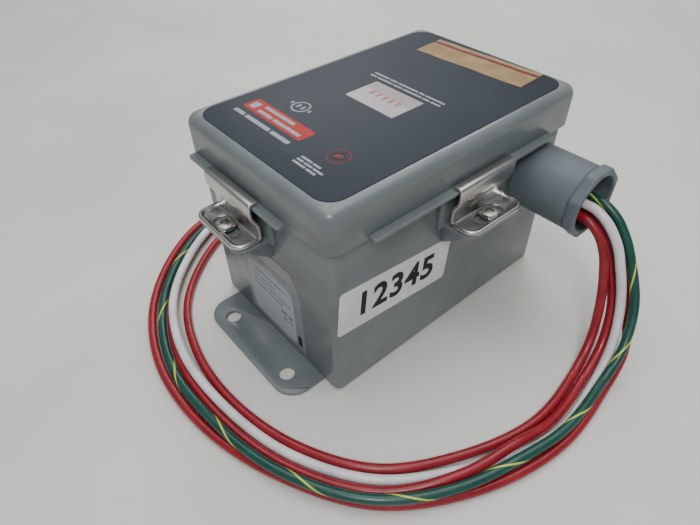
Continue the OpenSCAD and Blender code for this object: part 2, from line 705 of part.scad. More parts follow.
// Lamp block that lights the window
module display_lamp() color("#e8e4e0")
  translate([window_x - lamp_w / 2, window_y - lamp_l / 2, indicator_z + board_t])
    cube([lamp_w, lamp_l, lamp_h]);

// Status lamp under its lens
module status_led() color("#a02030") translate([status_x, status_y, indicator_z + board_t]) {
  cylinder(d = led_d + 0.8, h = 1.2);
  cylinder(d = led_d, h = lamp_h - led_d / 2);
  translate([0, 0, lamp_h - led_d / 2]) sphere(d = led_d);
}

// Flat cable between the two boards
module link_cable() color("#9aa0a4") translate([cable_x, cable_y, board_z + board_t])
  cube([cable_w, cable_t, indicator_lift]);

// Ground stud on the floor, its nut, and the ring terminal of the green lead
module at_stud() translate([stud_x, stud_y, floor_z]) children();
module ground_stud() color(plated) at_stud() cylinder(d = stud_d, h = stud_h);
module ground_nut() color(plated) at_stud() translate([0, 0, ring_t + 0.1]) difference() {
  cylinder(d = 9.2, h = 4, $fn = 6);
  translate([0, 0, -1]) cylinder(d = stud_d, h = 6);
}
module ring_terminal() color("#c2904e") at_stud() difference() {
  union() {
    cylinder(d = ring_d, h = ring_t);
    rotate(117) translate([0, -2.5, 0]) cube([13, 5, ring_t]);
  }
  translate([0, 0, -1]) cylinder(d = stud_d, h = ring_t + 2);
}

// Fixed lengths of the leads inside the box and the adapter
module inner_leads() color("#b02a30") for (r = inner_routes) tube(r, lead_d);

// Free leads
module lead_red_a() color("#c02028") tube(red_a, lead_d);
module lead_white() color("#eeeeee") tube(white, lead_d);
module lead_red_b() color("#c02028") tube(red_b, lead_d);
module lead_green() color("#1f6a4a") tube(green, lead_d);
module lead_red_c() color("#c02028") tube(red_c, lead_d);

// Bare copper strands at the free end of each lead
module lead_copper() color("#b87333") for (r = routes)
  let (e = r[len(r) - 1], h = heading(r, len(r) - 1))
    translate(e) rotate([-90, 0, atan2(h[1], h[0]) - 90]) cylinder(d = copper_d, h = strip_l);

enclosure_body();
foot_near();
foot_far();
bracket_side();
bracket_near();
bracket_far();
clamp_side();
clamp_near();
clamp_far();
screw_side();
screw_near();
screw_far();
hinge_leaf_body();
hinge_leaf_lid();
hinge_pin();
lid();
lid_gasket();
front_label();
display_window();
status_lens();
tape_sticker();
rating_label();
inventory_sticker();
conduit_adapter();
conduit_locknut();
power_board();
board_standoffs();
board_screws();
varistors();
fuses();
fuse_clips();
terminal_block();
terminal_screws();
indicator_standoffs();
indicator_board();
indicator_screws();
display_lamp();
status_led();
link_cable();
ground_stud();
ground_nut();
ring_terminal();
inner_leads();
lead_red_a();
lead_white();
lead_red_b();
lead_green();
lead_red_c();
lead_copper();
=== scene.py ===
"""A surge protective device in a gray steel clamp-cover box, with five leads out of its conduit adapter."""

import bpy
import numpy as np
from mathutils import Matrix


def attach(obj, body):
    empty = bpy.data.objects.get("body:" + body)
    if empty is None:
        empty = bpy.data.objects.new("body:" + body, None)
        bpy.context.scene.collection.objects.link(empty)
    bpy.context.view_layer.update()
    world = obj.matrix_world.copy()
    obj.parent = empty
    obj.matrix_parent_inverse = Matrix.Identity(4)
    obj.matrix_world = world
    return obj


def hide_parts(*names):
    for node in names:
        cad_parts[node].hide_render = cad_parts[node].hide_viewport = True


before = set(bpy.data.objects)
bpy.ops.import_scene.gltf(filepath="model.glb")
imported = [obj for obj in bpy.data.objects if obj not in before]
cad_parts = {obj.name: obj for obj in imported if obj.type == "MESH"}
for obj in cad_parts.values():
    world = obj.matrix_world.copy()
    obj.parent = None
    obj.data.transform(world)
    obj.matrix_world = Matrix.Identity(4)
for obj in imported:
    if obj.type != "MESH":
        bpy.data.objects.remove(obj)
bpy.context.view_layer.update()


# ---- The place it stands ----
# A pale matt bench top under a ceiling of soft light, with one longer lamp behind it that draws
# the bright lines along the rounded edges of the lid.
def finish_of(name, roughness, metallic=0.0, **values):
    """A new material whose even values are set on its shader's own sockets."""
    made = bpy.data.materials.new(name)
    made.use_nodes = True
    sockets = made.node_tree.nodes["Principled BSDF"].inputs
    sockets["Roughness"].default_value = roughness
    sockets["Metallic"].default_value = metallic
    for key, value in values.items():
        sockets[key.replace("_", " ")].default_value = value
    return made


def blotches(made, per_metre, stretch=(1, 1, 1), detail=4.0, turn=(0, 0, 0)):
    """Soft noise on the piece's own metres. A blotch is about 1 / per_metre across, divided by stretch."""
    new, link = made.node_tree.nodes.new, made.node_tree.links.new
    place, mapping, noise = new("ShaderNodeTexCoord"), new("ShaderNodeMapping"), new("ShaderNodeTexNoise")
    mapping.inputs["Scale"].default_value = stretch
    mapping.inputs["Rotation"].default_value = turn
    noise.inputs["Scale"].default_value = per_metre
    noise.inputs["Detail"].default_value = detail
    link(place.outputs["Object"], mapping.inputs["Vector"])
    link(mapping.outputs["Vector"], noise.inputs["Vector"])
    return noise.outputs["Fac"]


def between(made, source, low, high, start=0.35, stop=0.65):
    """A ramp from the colour or value low, where the source is start, to high, where it is stop."""
    new, link = made.node_tree.nodes.new, made.node_tree.links.new
    if isinstance(low, tuple):
        ramp = new("ShaderNodeValToRGB")
        ramp.color_ramp.elements[0].position, ramp.color_ramp.elements[1].position = start, stop
        ramp.color_ramp.elements[0].color = (*low, 1)
        ramp.color_ramp.elements[1].color = (*high, 1)
        link(source, ramp.inputs["Fac"])
        return ramp.outputs["Color"]
    ramp = new("ShaderNodeMapRange")
    for key, value in zip(("From Min", "From Max", "To Min", "To Max"), (start, stop, low, high)):
        ramp.inputs[key].default_value = value
    link(source, ramp.inputs["Value"])
    return ramp.outputs["Result"]


def drive(made, socket, source):
    """Sends a source to one socket of the shader."""
    made.node_tree.links.new(source, made.node_tree.nodes["Principled BSDF"].inputs[socket])


def relief(made, source, height, strength=1.0):
    """Raises the surface by the source, up to height in metres, on top of any relief it already has."""
    bump = made.node_tree.nodes.new("ShaderNodeBump")
    bump.inputs["Distance"].default_value = height
    bump.inputs["Strength"].default_value = strength
    link = made.node_tree.links.new
    normal = made.node_tree.nodes["Principled BSDF"].inputs["Normal"]
    if normal.links:
        link(normal.links[0].from_socket, bump.inputs["Normal"])
    link(source, bump.inputs["Height"])
    link(bump.outputs["Normal"], normal)


def tint(made, source, dark, light, start=0.35, stop=0.65):
    """Colours the surface from dark to light by the source."""
    drive(made, "Base Color", between(made, source, dark, light, start, stop))


def dull(made, source, low, high):
    """Varies the roughness from low to high by the source."""
    drive(made, "Roughness", between(made, source, low, high))


bench = finish_of("bench_top", 0.55)
tint(bench, blotches(bench, 6, detail=6), (0.60, 0.60, 0.56), (0.68, 0.68, 0.64))
relief(bench, blotches(bench, 900), 0.00003)
floor_mesh = bpy.data.meshes.new("bench_top")
floor_mesh.from_pydata([(-4, -4, 0), (4, -4, 0), (4, 4, 0), (-4, 4, 0)], [], [(0, 1, 2, 3)])
floor_mesh.materials.append(bench)
bench_top = bpy.data.objects.new("bench_top", floor_mesh)
bpy.context.scene.collection.objects.link(bench_top)


def soft_light(name, place, turn, size, power, tint):
    """A rectangular lamp, size metres wide and long, turned by three angles in degrees from facing down."""
    lamp = bpy.data.lights.new(name, "AREA")
    lamp.shape, lamp.energy, lamp.color = "RECTANGLE", power, tint
    lamp.size, lamp.size_y = size
    lamp_object = bpy.data.objects.new(name, lamp)
    lamp_object.location, lamp_object.rotation_euler = place, np.radians(turn)
    bpy.context.scene.collection.objects.link(lamp_object)


soft_light("ceiling_lamp", (-0.2, 0.3, 1.3), (0, 0, 0), (1.4, 1.4), 16, (1.0, 0.99, 0.97))
soft_light("back_lamp", (-0.9, 0.9, 0.9), (-50, -30, 45), (1.2, 0.25), 7, (1.0, 0.99, 0.97))
soft_light("side_lamp", (0.9, -0.9, 0.7), (50, 30, 40), (0.9, 0.9), 1.6, (0.96, 0.98, 1.0))
soft_light("near_lamp", (0.42, -0.42, 0.8), (28, 28, 0), (0.22, 0.22), 3.2, (1.0, 1.0, 1.0))
sky = bpy.data.worlds.new("room")
sky.use_nodes = True
sky.node_tree.nodes["Background"].inputs["Color"].default_value = (0.93, 0.96, 1.0, 1)
sky.node_tree.nodes["Background"].inputs["Strength"].default_value = 0.30
bpy.context.scene.world = sky

camera = bpy.data.cameras.new("camera")
camera.sensor_width, camera.lens = 36, 27.85
camera_object = bpy.data.objects.new("camera", camera)
camera_object.location = (0.17256, -0.16642, 0.22966)
camera_object.rotation_euler = np.radians((46.907, 1.094, 49.571))
bpy.context.scene.collection.objects.link(camera_object)
bpy.context.scene.camera = camera_object


# ---- The box ----
# Sheet steel 1.9 mm thick, folded and welded into a box with the rim of its opening turned
# inward, then powder painted in a light blue gray inside and out.
gray_paint = finish_of("gray_paint", 0.38, Coat_Weight=0.2, Coat_Roughness=0.12)
tint(gray_paint, blotches(gray_paint, 28, detail=7), (0.130, 0.151, 0.158), (0.157, 0.180, 0.187))
dull(gray_paint, blotches(gray_paint, 70, detail=8), 0.30, 0.42)
relief(gray_paint, blotches(gray_paint, 650, detail=2), 0.00007, 0.5)


def dress(material, *nodes):
    """Gives a material to frame pieces, by their material slots."""
    for name in nodes:
        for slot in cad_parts[name].material_slots:
            slot.material = material


# Smooth shading over every edge that turns by less than the angle
soft_shading = bpy.data.node_groups.new("soft_shading", "GeometryNodeTree")
soft_shading.interface.new_socket("Geometry", in_out="INPUT", socket_type="NodeSocketGeometry")
soft_shading.interface.new_socket("Geometry", in_out="OUTPUT", socket_type="NodeSocketGeometry")
group_in = soft_shading.nodes.new("NodeGroupInput")
all_smooth = soft_shading.nodes.new("GeometryNodeSetShadeSmooth")
edge_turn = soft_shading.nodes.new("GeometryNodeInputMeshEdgeAngle")
is_gentle = soft_shading.nodes.new("FunctionNodeCompare")
is_gentle.operation = "LESS_THAN"
is_gentle.inputs[1].default_value = np.radians(32)
edges_smooth = soft_shading.nodes.new("GeometryNodeSetShadeSmooth")
edges_smooth.domain = "EDGE"
group_out = soft_shading.nodes.new("NodeGroupOutput")
soft_shading.links.new(group_in.outputs[0], all_smooth.inputs["Geometry"])
soft_shading.links.new(all_smooth.outputs[0], edges_smooth.inputs["Geometry"])
soft_shading.links.new(edge_turn.outputs["Unsigned Angle"], is_gentle.inputs[0])
soft_shading.links.new(is_gentle.outputs[0], edges_smooth.inputs["Shade Smooth"])
soft_shading.links.new(edges_smooth.outputs[0], group_out.inputs[0])


def round_edges(width, *nodes, rounds=2):
    """Rounds the sharp edges of frame pieces by that width in millimetres, and shades them smooth."""
    for name in nodes:
        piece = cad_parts[name]
        weld = piece.modifiers.new("weld", "WELD")
        weld.merge_threshold = 0.00001
        if width:
            flats = piece.modifiers.new("flats", "DECIMATE")
            flats.decimate_type, flats.angle_limit = "DISSOLVE", np.radians(1)
            bevel = piece.modifiers.new("broken_edges", "BEVEL")
            bevel.width, bevel.segments = width / 1000, rounds
            bevel.limit_method, bevel.angle_limit = "ANGLE", np.radians(32)
        piece.modifiers.new("shading", "NODES").node_group = soft_shading


dress(gray_paint, "enclosure_body")
round_edges(0.6, "enclosure_body")


# ---- Feet and brackets ----
# The feet are 1.9 mm plates welded under the back with two holes each. A bracket is a pressed
# shelf on each clamped wall, with a tapped hole for the clamp screw and two folded gussets.
foot_paint = gray_paint.copy()
foot_paint.name = "foot_paint"
dress(foot_paint, "foot_near", "foot_far")
round_edges(0.35, "foot_near", "foot_far")
dress(gray_paint, "bracket_side", "bracket_near", "bracket_far")
round_edges(0.35, "bracket_side", "bracket_near", "bracket_far")


# ---- Hinge ----
# Two rolled steel leaves with interleaved knuckles, welded to the wall and to the lid and
# painted with them, on a bright steel pin.
bright_steel = finish_of("bright_steel", 0.25, 1.0)
tint(bright_steel, blotches(bright_steel, 300, detail=6), (0.55, 0.54, 0.52), (0.68, 0.67, 0.65))
dull(bright_steel, blotches(bright_steel, 900, detail=4), 0.22, 0.38)
relief(bright_steel, blotches(bright_steel, 500), 0.00003, 0.6)
dress(gray_paint, "hinge_leaf_body", "hinge_leaf_lid")
round_edges(0.2, "hinge_leaf_body", "hinge_leaf_lid", rounds=1)
dress(bright_steel, "hinge_pin")
round_edges(0.3, "hinge_pin")


# ---- Conduit adapter ----
# A moulded gray plastic adapter: a round barrel with an eight-sided collar at its mouth. Its
# threaded stub goes through the wall and a pressed steel locknut holds it from inside.
def outward(points, faces):
    """Turns every face over if the volume that they enclose comes out negative."""
    triangles = np.array([(face[0], face[k], face[k + 1])
                          for face in faces for k in range(1, len(face) - 1)])
    a, b, c = (points - points.mean(0))[triangles.T]
    if np.einsum("ij,ij->", a, np.cross(b, c)) < 0:
        return [face[::-1] for face in faces]
    return faces


def shell(name, body, material, *grids, ring=False, sharp=32, lay_uv=False):
    """One piece made of closed grids of points in millimetres, rows by columns. Each row closes on itself.
    The rows too close on each other if ring is true, and otherwise the first and the last are filled.
    lay_uv lays a map on it: part of the way round, and millimetres along."""
    points, faces, count = [], [], 0
    for grid in grids:
        rows, columns = grid.shape[:2]
        number = np.arange(rows * columns).reshape(rows, columns)
        lines = np.vstack([number, number[:1]]) if ring else number
        a, b = lines[:-1], lines[1:]
        here = np.stack([a, np.roll(a, -1, 1), np.roll(b, -1, 1), b], -1).reshape(-1, 4).tolist()
        if not ring:
            here += [number[0][::-1].tolist(), number[-1].tolist()]
        here = outward(grid.reshape(-1, 3), here)
        faces += [[count + corner for corner in face] for face in here]
        points.append(grid.reshape(-1, 3) / 1000)
        count += rows * columns
    points = np.vstack(points)
    mesh = bpy.data.meshes.new(name)
    mesh.from_pydata(points.tolist(), [], faces)
    mesh.polygons.foreach_set("use_smooth", np.ones(len(faces), bool))
    mesh.set_sharp_from_angle(angle=np.radians(sharp))
    mesh.materials.append(material)
    if lay_uv:
        corner = np.zeros(len(mesh.loops), np.int32)
        mesh.loops.foreach_get("vertex_index", corner)
        step = np.linalg.norm(np.diff(grids[0].mean(1), axis=0), axis=1)
        travelled = np.concatenate([[0], np.cumsum(step)])
        part = corner % columns / columns
        face_of = np.repeat(np.arange(len(faces)), [len(face) for face in faces])
        widest = np.zeros(len(faces))
        np.maximum.at(widest, face_of, part)
        part = np.where((widest[face_of] > 0.75) & (part < 0.25), part + 1, part)
        layer = mesh.uv_layers.new(name="along")
        layer.data.foreach_set("uv", np.stack([part, travelled[corner // columns]], -1).ravel())
    made = bpy.data.objects.new(name, mesh)
    bpy.context.scene.collection.objects.link(made)
    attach(made, body)
    return made


# Distance out of the wall, radius, and how far the round turns into an octagon. The profile runs from the
# stub inside the wall, along the barrel to the collar, round its rim and back down the bore.
adapter_profile = np.array([
    (-9.9, 11, 0), (-9.9, 12.9, 0), (-9.5, 13.3, 0), (0, 13.3, 0), (0, 16.3, 0), (0.15, 16.7, 0),
    (0.5, 16.9, 0), (1.2, 16.9, 0), (30.6, 16.9, 0), (31.3, 16.8, 0), (31.6, 16.45, 0), (31.9, 16.45, 0),
    (32.2, 16.8, 0.6), (32.4, 17.1, 1), (32.7, 17.25, 1), (33.2, 17.3, 1), (36.6, 17.3, 1),
    (37.1, 17.25, 1), (37.45, 17.1, 1), (37.65, 16.8, 1), (37.7, 16.4, 0.9), (37.7, 15.6, 0),
    (37.65, 15.2, 0), (37.4, 14.8, 0), (37, 14.6, 0), (36.4, 14.5, 0), (24.3, 14.5, 0), (23.8, 14.3, 0),
    (23.7, 13.9, 0), (23.7, 12.4, 0), (23.5, 12.1, 0), (23, 12, 0), (0, 12, 0), (-0.5, 11, 0)])
wall_x, conduit_y, conduit_z = 50.8, 54.5, 71.5


def round_the_conduit(profile, corners=160):
    """Rows round the conduit's axis. The radius is the profile's, times 1 / cos of the angle from the
    middle of the nearest flat where it is an octagon, held back at the corners so that they are round."""
    angle = np.linspace(0, 2 * np.pi, corners, endpoint=False)
    from_flat = (angle + np.pi / 8) % (np.pi / 4) - np.pi / 8
    widened = np.minimum(1 / np.cos(from_flat), 1.065) - 1
    radius = profile[:, 1:2] * (1 + profile[:, 2:3] * widened)
    out = wall_x + profile[:, :1] + 0 * radius
    return np.stack([out, conduit_y + radius * np.cos(angle), conduit_z + radius * np.sin(angle)], -1)


gray_plastic = finish_of("gray_plastic", 0.5, Specular_IOR_Level=0.4)
tint(gray_plastic, blotches(gray_plastic, 60, detail=7), (0.100, 0.122, 0.142), (0.124, 0.148, 0.168))
dull(gray_plastic, blotches(gray_plastic, 150, (0.3, 1, 1), 6), 0.42, 0.58)
relief(gray_plastic, blotches(gray_plastic, 1500, detail=2), 0.00004, 0.6)
relief(gray_plastic, blotches(gray_plastic, 120, (0.25, 1, 1)), 0.00012, 0.4)
adapter = shell("adapter", "box", gray_plastic, round_the_conduit(adapter_profile), ring=True)
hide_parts("conduit_adapter")

zinc = finish_of("zinc_plate", 0.34, 1.0)
tint(zinc, blotches(zinc, 260, detail=6), (0.50, 0.50, 0.49), (0.64, 0.64, 0.61))
dull(zinc, blotches(zinc, 600, detail=5), 0.28, 0.48)
relief(zinc, blotches(zinc, 900), 0.00004, 0.6)
dress(zinc, "conduit_locknut")
round_edges(0.4, "conduit_locknut")


# ---- Grounding ----
# A plated stud pressed into the back, with a hexagon nut over the tinned ring terminal that
# ends the green lead.
tin = finish_of("tinned_copper", 0.3, 1.0)
tint(tin, blotches(tin, 400, detail=5), (0.62, 0.50, 0.34), (0.74, 0.66, 0.54))
dull(tin, blotches(tin, 700), 0.26, 0.42)
dress(tin, "ring_terminal")
round_edges(0.2, "ring_terminal")
dress(zinc, "ground_nut")
round_edges(0.35, "ground_nut")


def threaded(tip, top, radius, pitch, depth, columns=64, step=0.125):
    """Rows of a screw thread from tip to top: the radius falls and rises by depth once each turn, as a
    triangle wave of height / pitch less the angle, and it fades in over one pitch at the tip."""
    height = np.arange(tip, top, pitch * step)[:, None]
    angle = np.linspace(0, 2 * np.pi, columns, endpoint=False)[None, :]
    wave = abs(2 * ((height / pitch - angle / (2 * np.pi)) % 1) - 1)
    fade = np.clip((height - tip) / pitch, 0, 1)
    reach = radius - depth * wave - 0.12 * radius * (1 - fade)
    return np.stack([reach * np.cos(angle), reach * np.sin(angle), height + 0 * angle], -1)


stud = shell("stud", "box", zinc, threaded(3.75, 15.8, 2.5, 0.8, 0.3) + (34, 58, 0))
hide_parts("ground_stud")


# ---- Power board ----
# A green fibreglass board on round spacers, with four varistor discs dipped in blue epoxy, three
# cartridge fuses in brass clips, and a terminal block for the four line leads.
board_mask = finish_of("board_mask", 0.3, Coat_Weight=0.3, Coat_Roughness=0.15)
tracks = board_mask.node_tree.nodes.new("ShaderNodeTexVoronoi")
tracks.feature, tracks.inputs["Scale"].default_value = "DISTANCE_TO_EDGE", 130
board_place = board_mask.node_tree.nodes.new("ShaderNodeTexCoord")
board_mask.node_tree.links.new(board_place.outputs["Object"], tracks.inputs["Vector"])
tint(board_mask, tracks.outputs["Distance"], (0.035, 0.16, 0.07), (0.012, 0.085, 0.035), 0.06, 0.09)
relief(board_mask, blotches(board_mask, 1400), 0.00003, 0.6)
dress(board_mask, "power_board", "indicator_board")
round_edges(0.15, "power_board", "indicator_board", rounds=1)
dress(zinc, "board_standoffs", "indicator_standoffs", "board_screws", "indicator_screws", "terminal_screws")
round_edges(0.25, "board_standoffs", "indicator_standoffs", "board_screws", "indicator_screws",
            "terminal_screws")

epoxy = finish_of("blue_epoxy", 0.25, Coat_Weight=0.4, Coat_Roughness=0.1)
tint(epoxy, blotches(epoxy, 160, detail=5), (0.012, 0.045, 0.22), (0.02, 0.075, 0.32))
relief(epoxy, blotches(epoxy, 220, detail=3), 0.0003, 0.5)
board_top, disc_r, disc_t = 17.4, 15.0, 7.0


def dipped_disc(middle_x, middle_y, middle_z, radius, thickness):
    """A disc with a swollen rim: across its axis the radius is the fourth root of 1 - s to the fourth."""
    s = np.sin(np.linspace(-np.pi / 2 + 0.12, np.pi / 2 - 0.12, 15))[:, None]
    angle = np.linspace(0, 2 * np.pi, 64, endpoint=False)[None, :]
    reach = radius * (1 - s ** 4) ** 0.25
    return np.stack([middle_x + s * thickness / 2 + 0 * angle, middle_y + reach * np.cos(angle),
                     middle_z + reach * np.sin(angle)], -1)


def upright_rod(x, y, low, high, radius, columns=16):
    """Two rows of a straight rod that stands on the height low."""
    ring = np.concatenate([circle(radius, columns) + (x, y), np.zeros((columns, 1))], 1)
    return np.stack([ring + (0, 0, low), ring + (0, 0, high)])


def circle(radius, corners):
    """Points (cos, sin) of a circle."""
    angle = np.linspace(0, 2 * np.pi, corners, endpoint=False)
    return radius * np.stack([np.cos(angle), np.sin(angle)], -1)


first_disc_x, disc_pitch, disc_y, disc_lift = -24, 14, -52, 2
leg_out, leg_l, leg_r = 6, 6, 0.6
discs, legs = [], []
for k in range(4):
    disc_x = first_disc_x + disc_pitch * k + disc_t / 2
    discs.append(dipped_disc(disc_x, disc_y, board_top + disc_r + disc_lift, disc_r, disc_t))
    for side in (-1, 1):
        legs.append(upright_rod(disc_x, disc_y + side * leg_out, board_top - 0.1, board_top + leg_l, leg_r))
varistor_discs = shell("varistor_discs", "box", epoxy, *discs)
varistor_legs = shell("varistor_legs", "box", tin, *legs)
for piece in (varistor_discs, varistor_legs):
    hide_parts("varistors")

fuse_glaze = finish_of("fuse_body", 0.35, Coat_Weight=0.2)
tint(fuse_glaze, blotches(fuse_glaze, 200), (0.60, 0.56, 0.46), (0.72, 0.68, 0.58))


def lying_rod(x, start, z, profile, columns=32):
    """Rows of a turned rod along Y: the profile gives distances from its start and radii."""
    profile = np.array(profile, float)
    angle = np.linspace(0, 2 * np.pi, columns, endpoint=False)[None, :]
    reach = profile[:, 1:2]
    along_y = start + profile[:, :1] + 0 * angle
    return np.stack([x + reach * np.cos(angle), along_y, z + reach * np.sin(angle)], -1)


fuse_z, fuse_near_y, fuse_far_y = board_top + 7, -24, 8
fuse_tube = [(5, 3.7), (27, 3.7)]
fuse_cap = [(0, 0.5), (0, 3.2), (0.3, 3.8), (0.8, 4), (8, 4), (8.4, 3.9), (8.5, 3.7)]
fuse_caps, fuse_tubes = [], []
for x in (-20, 0, 20):
    fuse_tubes.append(lying_rod(x, fuse_near_y, fuse_z, fuse_tube))
    fuse_caps.append(lying_rod(x, fuse_near_y, fuse_z, fuse_cap))
    fuse_caps.append(lying_rod(x, fuse_far_y, fuse_z, [(-out, reach) for out, reach in fuse_cap]))
fuse_bodies = shell("fuse_tubes", "box", fuse_glaze, *fuse_tubes)
fuse_ends = shell("fuse_caps", "box", zinc, *fuse_caps)
for piece in (fuse_bodies, fuse_ends):
    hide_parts("fuses")

brass = finish_of("spring_brass", 0.28, 1.0)
tint(brass, blotches(brass, 300, detail=5), (0.60, 0.43, 0.17), (0.76, 0.58, 0.28))
dull(brass, blotches(brass, 700), 0.22, 0.4)
dress(brass, "fuse_clips")
round_edges(0.2, "fuse_clips", rounds=1)
black_plastic = finish_of("black_plastic", 0.5)
tint(black_plastic, blotches(black_plastic, 200), (0.018, 0.020, 0.022), (0.030, 0.033, 0.035))
relief(black_plastic, blotches(black_plastic, 2500, detail=1), 0.00004, 0.7)
dress(black_plastic, "terminal_block")
round_edges(0.3, "terminal_block", rounds=1)


# ---- Indicator board ----
# A second board on tall spacers under the window. It carries a white lamp block and a red status
# lamp, and a flat gray ribbon cable joins it to the power board.
lamp_plastic = finish_of("lamp_plastic", 0.4, Subsurface_Weight=0.3, Subsurface_Scale=0.002)
tint(lamp_plastic, blotches(lamp_plastic, 250), (0.72, 0.69, 0.66), (0.80, 0.78, 0.75))
dress(lamp_plastic, "display_lamp")
round_edges(0.5, "display_lamp")
red_glass = finish_of("red_lamp_plastic", 0.42, Specular_IOR_Level=0.22)
tint(red_glass, blotches(red_glass, 500), (0.07, 0.003, 0.006), (0.12, 0.006, 0.010))
dress(red_glass, "status_led")
round_edges(0.15, "status_led", rounds=1)

ribbon_plastic = finish_of("ribbon_plastic", 0.45)
tint(ribbon_plastic, blotches(ribbon_plastic, 300), (0.30, 0.32, 0.34), (0.38, 0.40, 0.42))


def ribbon_rows(left, right, y, low, high, wires=7, wire_r=0.5):
    """Rows of a ribbon cable: round its section the thickness follows |sin| of the place across, once for
    each wire, and up its length it bows sideways by half a sine."""
    across = np.linspace(0, 1, wires * 8 + 1)
    half = wire_r * (0.45 + 0.55 * abs(np.sin(np.pi * wires * across)))
    x = left + (right - left) * np.concatenate([across, across[::-1]])
    thick = np.concatenate([half, -half[::-1]])
    up = np.linspace(0, 1, 24)[:, None]
    return np.stack([x + 0 * up, y + thick + 1.2 * np.sin(np.pi * up), low + (high - low) * up + 0 * x], -1)


ribbon = shell("ribbon", "box", ribbon_plastic, ribbon_rows(6.5, 13.5, 4.6, board_top, board_top + 60))
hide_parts("link_cable")


# ---- Leads ----
# Five stranded copper building wires, 4.6 mm over their insulation: three red, one white, and a
# green one with a thin yellow stripe. They run 0.6 m from the mouth of the adapter to bare ends.
lead_z = 2.3
mouth_x = 88.5
routes = {
    "red_a": [(mouth_x, 48.5, 66), (96, 48.5, 62.5), (102, 48.5, 54.5), (106.5, 47.5, 43.5),
              (112, 43.5, 27), (116.5, 36, 11.5), (120.5, 19, lead_z), (124, -16.5, lead_z),
              (112, -58, lead_z), (93, -88.5, lead_z), (62, -108.5, lead_z), (22, -118.5, lead_z),
              (-18, -116.5, lead_z), (-50, -104.5, lead_z), (-73, -84, lead_z), (-90, -58, lead_z),
              (-97.5, -24, lead_z), (-98, 30, lead_z), (-78.5, 120, lead_z)],
    "white": [(mouth_x, 51.5, 71.5), (97.5, 51.5, 68), (105, 51.5, 60.5), (111.5, 51, 48.5),
              (120, 47.5, 29), (126.5, 37.5, 12.5), (130.5, 20.5, lead_z), (134, -16.5, lead_z),
              (127.5, -40, lead_z), (117.5, -61, lead_z), (96.5, -92, lead_z), (64, -113, 2.6),
              (22.5, -123.5, 4.9), (-19.5, -123, 6.6), (-53.5, -110.5, 6.8), (-78.5, -89, 6.8),
              (-97.5, -61, 7), (-106.5, -25, 7), (-110.5, 31.5, lead_z), (-101, 87.5, lead_z)],
    "red_b": [(mouth_x, 54.5, 65), (96, 54.5, 61.5), (102, 54, 53.5), (107.5, 53, 42.5), (115.5, 48.5, 27),
              (121.5, 38.5, 11.5), (125.5, 19.5, lead_z), (129, -16.5, 3.8), (125.5, -39, 7.2),
              (120.5, -62.5, 7), (100.5, -95.5, 2.6), (66, -117.5, lead_z), (23, -127.5, lead_z),
              (-20, -125.5, lead_z), (-54.5, -112, lead_z), (-80.5, -90.5, lead_z), (-99.5, -62, lead_z),
              (-102.5, -24.5, lead_z), (-104.5, 30.5, lead_z), (-94.5, 87.5, lead_z)],
    "green": [(mouth_x, 58, 72), (98, 58, 68.5), (106, 57.5, 61), (114, 56.5, 49), (124.5, 51, 32),
              (131, 39, 16.5), (133.5, 21, 6.8), (136, -16.5, 7), (131.5, -41, 7.1), (125, -64.5, 7),
              (104, -99.5, 7.1), (68, -122.5, 7.2), (23.5, -132, 5.8), (-20.5, -130.5, 2.5),
              (-57, -116.5, lead_z), (-84.5, -94, lead_z), (-104.5, -64, 2.4), (-110.5, -25, lead_z),
              (-116.5, 32, lead_z), (-112, 62, lead_z)],
    "red_c": [(mouth_x, 60.5, 66.5), (96.5, 60.5, 63), (103, 60, 55), (109.5, 59, 44.5), (120, 54.5, 28),
              (131, 43, 11.5), (135.5, 21.5, lead_z), (139, -17, lead_z), (126.5, -65.5, lead_z),
              (104, -99.5, lead_z), (68, -122.5, lead_z), (24, -136, lead_z), (-21.5, -135.5, lead_z),
              (-60, -121, lead_z), (-88.5, -97.5, lead_z), (-109.5, -66, lead_z), (-116, -25.5, lead_z),
              (-122, 33, lead_z), (-120, 50.5, lead_z)],
}
inner_routes = {
    "red_a": [(12, 21, 30.6), (12, 38, 30.6), (13, 43, 37), (18, 45, 48), (27, 47, 60), (38, 48.5, 66)],
    "white": [(0, 21, 30.6), (0, 39, 30.6), (2, 46, 42), (9, 49, 57), (22, 51, 68), (38, 51.5, 71.5)],
    "red_b": [(-12, 21, 30.6), (-12, 39, 30.6), (-11, 48, 37), (-5, 55, 50), (8, 58, 60), (24, 57, 64),
              (38, 54.5, 65)],
    "red_c": [(-24, 21, 30.6), (-24, 40, 30.6), (-23, 52, 40), (-15, 62, 56), (4, 66, 64), (24, 64, 66),
              (38, 60.5, 66.5)],
    "green": [(29, 67.5, 5.6), (28.5, 69, 20), (27.5, 70.5, 45), (26, 69.5, 66), (29, 63.5, 75.5),
              (38, 58.5, 73), (52, 58, 72)],
}


def bowed(points, steps=14, first=None):
    """A smooth line through points. Each span is a cubic that leaves and meets its ends at slopes which
    weigh the two chords there by their lengths. The height's slope is held back so that it never dips."""
    points = np.array(points, float)
    chord = np.diff(points, axis=0)
    length = np.linalg.norm(chord, axis=1)[:, None]
    way = chord / length
    shared = (way[:-1] * length[1:] + way[1:] * length[:-1]) / (length[1:] + length[:-1])
    slope = np.vstack([way[:1] if first is None else [first], shared, way[-1:]])
    rise = 3 * np.minimum(abs(way[:-1, 2]), abs(way[1:, 2])) * (way[:-1, 2] * way[1:, 2] > 0)
    slope[1:-1, 2] = np.clip(slope[1:-1, 2], -rise, rise)
    t = np.linspace(0, 1, steps, endpoint=False)[None, :, None]
    start, end, span = points[:-1, None], points[1:, None], length[:, None]
    line = (start * (1 + 2 * t) * (1 - t) ** 2 + slope[:-1, None] * span * t * (1 - t) ** 2
            + end * t * t * (3 - 2 * t) + slope[1:, None] * span * t * t * (t - 1))
    return np.vstack([line.reshape(-1, 3), points[-1:]])


